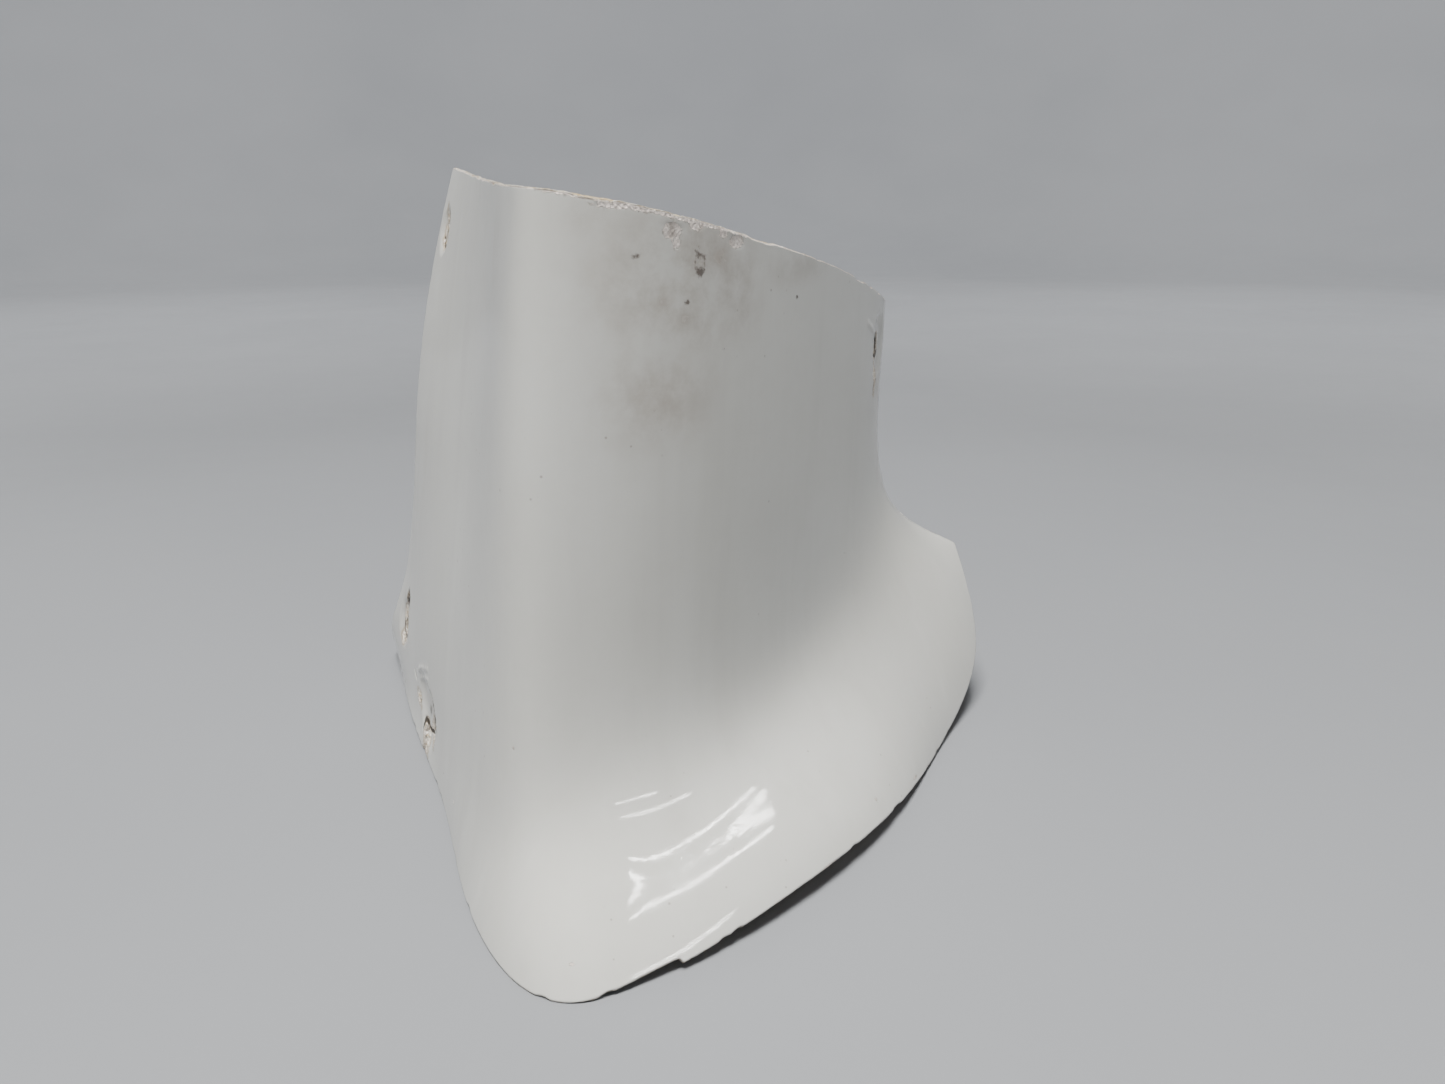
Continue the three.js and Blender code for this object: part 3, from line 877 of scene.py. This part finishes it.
def seat_pad(name, seat, raw):
    """A round built-up patch behind a seat, with a flat landing face and a clean screw hole."""
    turns, steps = 144, 26
    angle = np.linspace(0, 2 * math.pi, turns, endpoint=False)
    radii = np.linspace(HOLE_RADIUS, PAD_RADIUS, steps)
    r, turn = np.meshgrid(radii, angle, indexing="ij")
    outline = np.stack([np.cos(angle) * 9, np.sin(angle) * 9, 0 * angle + seat.around], -1)
    wander = 1 + 0.035 * rough(outline, 6.0, 81)
    share = (r - HOLE_RADIUS) / (PAD_RADIUS - HOLE_RADIUS)
    r = r * (1 + (wander[None, :] - 1) * share)
    x, y = r * np.cos(turn), r * np.sin(turn)
    points, normal, _, _ = surface(seat.around + x / seat.mm_around, seat.down + y / seat.mm_down)
    front = points - normal * (WALL + BOND)
    depth = WALL + BOND + PAD
    height = (points - seat.centre) @ seat.out
    back = points - seat.out * (height + depth)[..., None]
    edge = smooth_step(0.90, 1.0, share)
    grit = 0.05 * rough(back, 3.0, 82) * smooth_step(0.3, 0.5, share)
    back = back + seat.out * (edge * 0.6 + grit)[..., None]
    front[..., 2] = np.maximum(front[..., 2], 0)
    back[..., 2] = np.maximum(back[..., 2], 0)
    ring = np.arange(turns)
    after = np.roll(ring, -1)
    count = steps * turns
    faces = []
    for k in range(steps - 1):
        a, b = k * turns, (k + 1) * turns
        faces.append(np.stack([a + ring, b + ring, b + after, a + after], -1))
        faces.append(np.stack([count + a + ring, count + a + after, count + b + after, count + b + ring], -1))
    last = (steps - 1) * turns
    faces.append(np.stack([ring, after, count + after, count + ring], -1))
    faces.append(np.stack([last + ring, count + last + ring, count + last + after, last + after], -1))
    vertices = np.concatenate([front.reshape(-1, 3), back.reshape(-1, 3)])
    offset = vertices - seat.centre
    fields = {"cloth_x": offset @ (seat.x + seat.y), "cloth_y": offset @ (seat.x - seat.y)}
    return add_mesh(name + "_laminate", vertices, np.concatenate(faces), [raw], None, fields, 40)


# ---------------------------------------------------------------- studio

def studio_bowl():
    """A pale floor that sweeps up into a wall all round."""
    flat, wall, height, sides = 2.6, 4.0, 3.0, 96
    bend = np.linspace(0, math.pi / 2, 14)
    radius = [0.0] + list(flat + (wall - flat) * np.sin(bend)) + [wall]
    level = [0.0] + list((wall - flat) * (1 - np.cos(bend))) + [height]
    turn = np.linspace(0, 2 * math.pi, sides, endpoint=False)
    vertices = [(0.0, 0.0, 0.0)]
    for r, z in zip(radius[1:], level[1:]):
        vertices += [(r * math.cos(t), r * math.sin(t), z) for t in turn]
    faces = [(0, 1 + k, 1 + (k + 1) % sides) for k in range(sides)]
    for ring in range(len(radius) - 2):
        a, b = 1 + ring * sides, 1 + (ring + 1) * sides
        faces += [(a + k, b + k, b + (k + 1) % sides, a + (k + 1) % sides) for k in range(sides)]
    mesh = bpy.data.meshes.new("studio_floor")
    mesh.from_pydata(vertices, [], faces)
    mesh.materials.append(floor_material())
    mesh.shade_smooth()
    floor = bpy.data.objects.new("studio_floor", mesh)
    bpy.context.scene.collection.objects.link(floor)
    return floor


def area_light(name, place, target, width, length, power, colour=(1, 1, 1), along=None):
    """A rectangular light at place that faces target; its long side follows along if given."""
    light = bpy.data.lights.new(name, "AREA")
    light.shape = "RECTANGLE"
    light.size = length
    light.size_y = width
    light.energy = power
    light.color = colour
    lamp = bpy.data.objects.new(name, light)
    place, target = Vector(place), Vector(target)
    back = (place - target).normalized()
    side = Vector(along) if along is not None else Vector((1, 0, 0))
    side = (side - side.dot(back) * back).normalized()
    up = back.cross(side)
    lamp.matrix_world = Matrix((
        (side.x, up.x, back.x, place.x),
        (side.y, up.y, back.y, place.y),
        (side.z, up.z, back.z, place.z),
        (0, 0, 0, 1),
    ))
    bpy.context.scene.collection.objects.link(lamp)
    return lamp


def tube_light(name, start, end, width, brightness):
    """A lighting tube between two points, seen as a streak in the gloss."""
    start, end = Vector(start), Vector(end)
    length = (end - start).length
    power = brightness * math.pi * length * width
    middle = (start + end) / 2
    lamp = area_light(name, middle, (0, -0.05, 0.02), width, length, power, (1.0, 0.99, 0.96), end - start)
    lamp.visible_diffuse = False


def studio_lights():
    key = area_light("key_softbox", (-0.20, -0.66, 2.1), (0, -0.02, 0.08), 0.7, 0.7, 120, (1.0, 0.99, 0.965))
    overhead = area_light("overhead_softbox", (0.15, 0.0, 2.2), (0, 0, 0), 0.8, 0.8, 14)
    key.visible_glossy = False
    overhead.visible_glossy = False
    washes = 6
    for wash in range(washes):
        turn = math.pi * (0.5 + 2 * wash / washes)
        way = Vector((math.cos(turn), math.sin(turn), 0))
        side = Vector((-way.y, way.x, 0))
        place, target = 1.3 * way + Vector((0, 0, 1.8)), 4.2 * way + Vector((0, 0, 0.7))
        area_light("backdrop_wash_%d" % wash, place, target, 1.0, 2.0, 60, along=side)

    # a plain ceiling of twin tubes in parallel rows
    ceiling = Vector((1.3, -0.3, 1.6))
    along = Vector((0.8, 0.6, 0))
    across = Vector((0.6, -0.8, 0))
    tube_length, tube_width, pair_gap, row_gap = 1.2, 0.016, 0.12, 1.3
    brightness = 90
    half = along * tube_length / 2
    for row in range(3):
        for side, side_name in ((-0.5, "near"), (0.5, "far")):
            middle = ceiling + (row * row_gap + side * pair_gap) * across
            name = "tube_%d_%s" % (row, side_name)
            tube_light(name, middle - half, middle + half, tube_width, brightness)


def studio_world():
    world = bpy.data.worlds.new("studio_air")
    world.use_nodes = True
    sky = world.node_tree.nodes["Background"]
    sky.inputs["Color"].default_value = (0.93, 0.96, 1.0, 1)
    sky.inputs["Strength"].default_value = 0.04
    bpy.context.scene.world = world


def photo_camera():
    """The camera of the photograph: 190 mm up, 16.4 degrees down, very slightly rolled."""
    place_in_loft = np.array([21.0, -356.0, 190.0])
    place = (place_in_loft + SHIFT) * MM
    tilt, roll = math.radians(16.42), math.radians(-0.33)
    level = np.array([
        [1, 0, 0],
        [0, -math.sin(tilt), -math.cos(tilt)],
        [0, math.cos(tilt), -math.sin(tilt)],
    ])
    turn = np.array([
        [math.cos(roll), -math.sin(roll), 0],
        [math.sin(roll), math.cos(roll), 0],
        [0, 0, 1],
    ])
    right, downward, ahead = turn @ level
    data = bpy.data.cameras.new("photo_camera")
    data.sensor_width = 36.0
    data.lens = 29.10
    data.clip_start = 0.01
    camera = bpy.data.objects.new("photo_camera", data)
    axes = np.stack([right, -downward, -ahead], 1)
    camera.matrix_world = Matrix([[*axes[k], place[k]] for k in range(3)] + [[0, 0, 0, 1]])
    bpy.context.scene.collection.objects.link(camera)
    bpy.context.scene.camera = camera


# ---------------------------------------------------------------- the scene

paint = painted_material()
inside = raw_material("raw_laminate_inside", 0.52)
raw = raw_material("raw_laminate", 0.62)

shell = fairing_shell(paint, inside)
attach(shell, "root")
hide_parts("fairing_shell")

band = neck_band(raw)
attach(band, "root")
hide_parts("neck_edge_band")

for seat_name, seat in SEATS.items():
    pad = seat_pad(seat_name + "_pad", seat, raw)
    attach(pad, "root")
    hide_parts(seat_name + "_pad")

studio_bowl()
studio_lights()
studio_world()
photo_camera()
